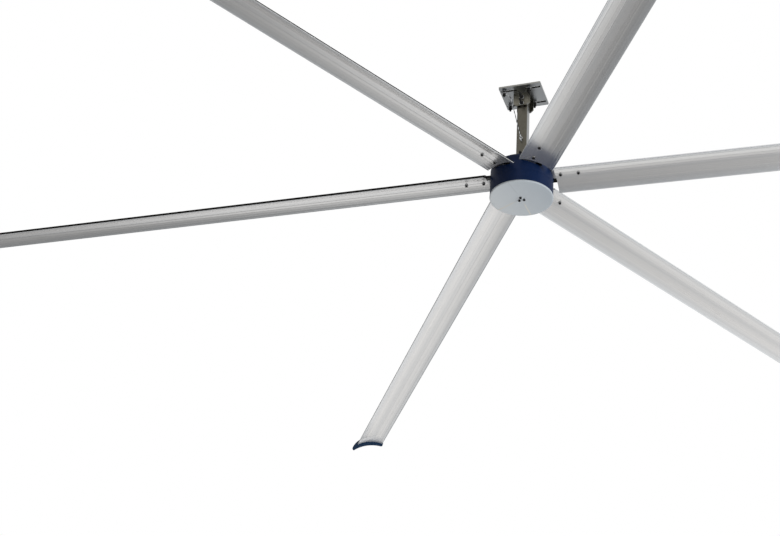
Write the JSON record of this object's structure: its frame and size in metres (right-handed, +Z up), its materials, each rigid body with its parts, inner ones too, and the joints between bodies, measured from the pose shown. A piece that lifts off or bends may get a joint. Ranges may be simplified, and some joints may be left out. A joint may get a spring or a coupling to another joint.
{
  "type": "industrial ceiling fan",
  "caption": "Large slow ceiling fan: long hollow blades on a round motor drum, hung by a square tube from a slotted beam plate.",
  "frame": {"origin": "centre of the beam plate's top face, where it meets the underside of the beam", "axes": "+Z up along the rotor's axis, +X along the beam plate's slots; the first blade stands 2 degrees from +X at rest"},
  "size_m": [7.316, 6.5986, 0.6945],
  "materials": {
    "blade_aluminium": "satin extruded, clear anodised",
    "strut_aluminium": "milled",
    "cast_aluminium": "as cast",
    "blue_enamel": "satin dark blue powder coat",
    "grey_enamel": "matte light grey powder coat",
    "blue_plastic": "moulded dark blue plastic",
    "galvanised_steel": "hot dip galvanised",
    "zinc_fastener": "bright zinc plated",
    "black_bolt": "black oxide",
    "rope_steel": "stranded galvanised wire",
    "turned_steel": "turned",
    "core_steel": "varnished laminations",
    "copper_winding": "enamelled copper wire",
    "magnet_plate": "nickel plated",
    "seal_rubber": "moulded",
    "black_plastic": "moulded"
  },
  "bodies": {
    "hanger": {"beam_plate": "galvanised_steel", "cheek_front": "galvanised_steel", "cheek_rear": "galvanised_steel", "clamp_bolts": "black_bolt", "clamp_washers": "zinc_fastener", "clamp_nuts": "black_bolt", "hanger_bolts": "black_bolt", "hanger_washers": "zinc_fastener", "hanger_nuts": "black_bolt", "hanger_spacers": "zinc_fastener", "drop_tube": "galvanised_steel", "shaft_spigot": "galvanised_steel", "spigot_bolts": "black_bolt", "spigot_washers": "zinc_fastener", "spigot_nuts": "black_bolt", "motor_shaft": "turned_steel", "shaft_nut": "turned_steel", "cable_gland": "black_plastic", "stator_core": "core_steel", "stator_coils": "copper_winding", "bearing_inner_rings": "turned_steel", "safety_rope": "rope_steel", "rope_lug": "zinc_fastener", "rope_guide": "zinc_fastener", "rope_end": "zinc_fastener", "eye_bolt": "zinc_fastener"},
    "rotor": {"bearing_outer_rings": "turned_steel", "cover_plate": "grey_enamel", "cover_screws": "black_bolt", "lower_shell": "blue_enamel", "upper_shell": "blue_enamel", "shaft_seal": "seal_rubber", "hub_ring": "cast_aluminium", "drum_screws": "zinc_fastener", "back_iron": "core_steel", "magnets": "magnet_plate", "strut_screws": "zinc_fastener", "blade_bolts": "black_bolt", "blade_nuts": "zinc_fastener", "strut_1": "strut_aluminium", "strut_2": "strut_aluminium", "strut_3": "strut_aluminium", "strut_4": "strut_aluminium", "strut_5": "strut_aluminium", "strut_6": "strut_aluminium", "blade_1": "blade_aluminium", "blade_2": "blade_aluminium", "blade_3": "blade_aluminium", "blade_4": "blade_aluminium", "blade_5": "blade_aluminium", "blade_6": "blade_aluminium", "end_cap_1": "blue_plastic", "end_cap_2": "blue_plastic", "end_cap_3": "blue_plastic", "end_cap_4": "blue_plastic", "end_cap_5": "blue_plastic", "end_cap_6": "blue_plastic"}
  },
  "joints": [
    {"name": "rotor_spin", "type": "hinge", "parent": "hanger", "child": "rotor", "pos_m": [0, 0, -0.6], "axis": [0, 0, 1], "continuous": true}
  ]
}
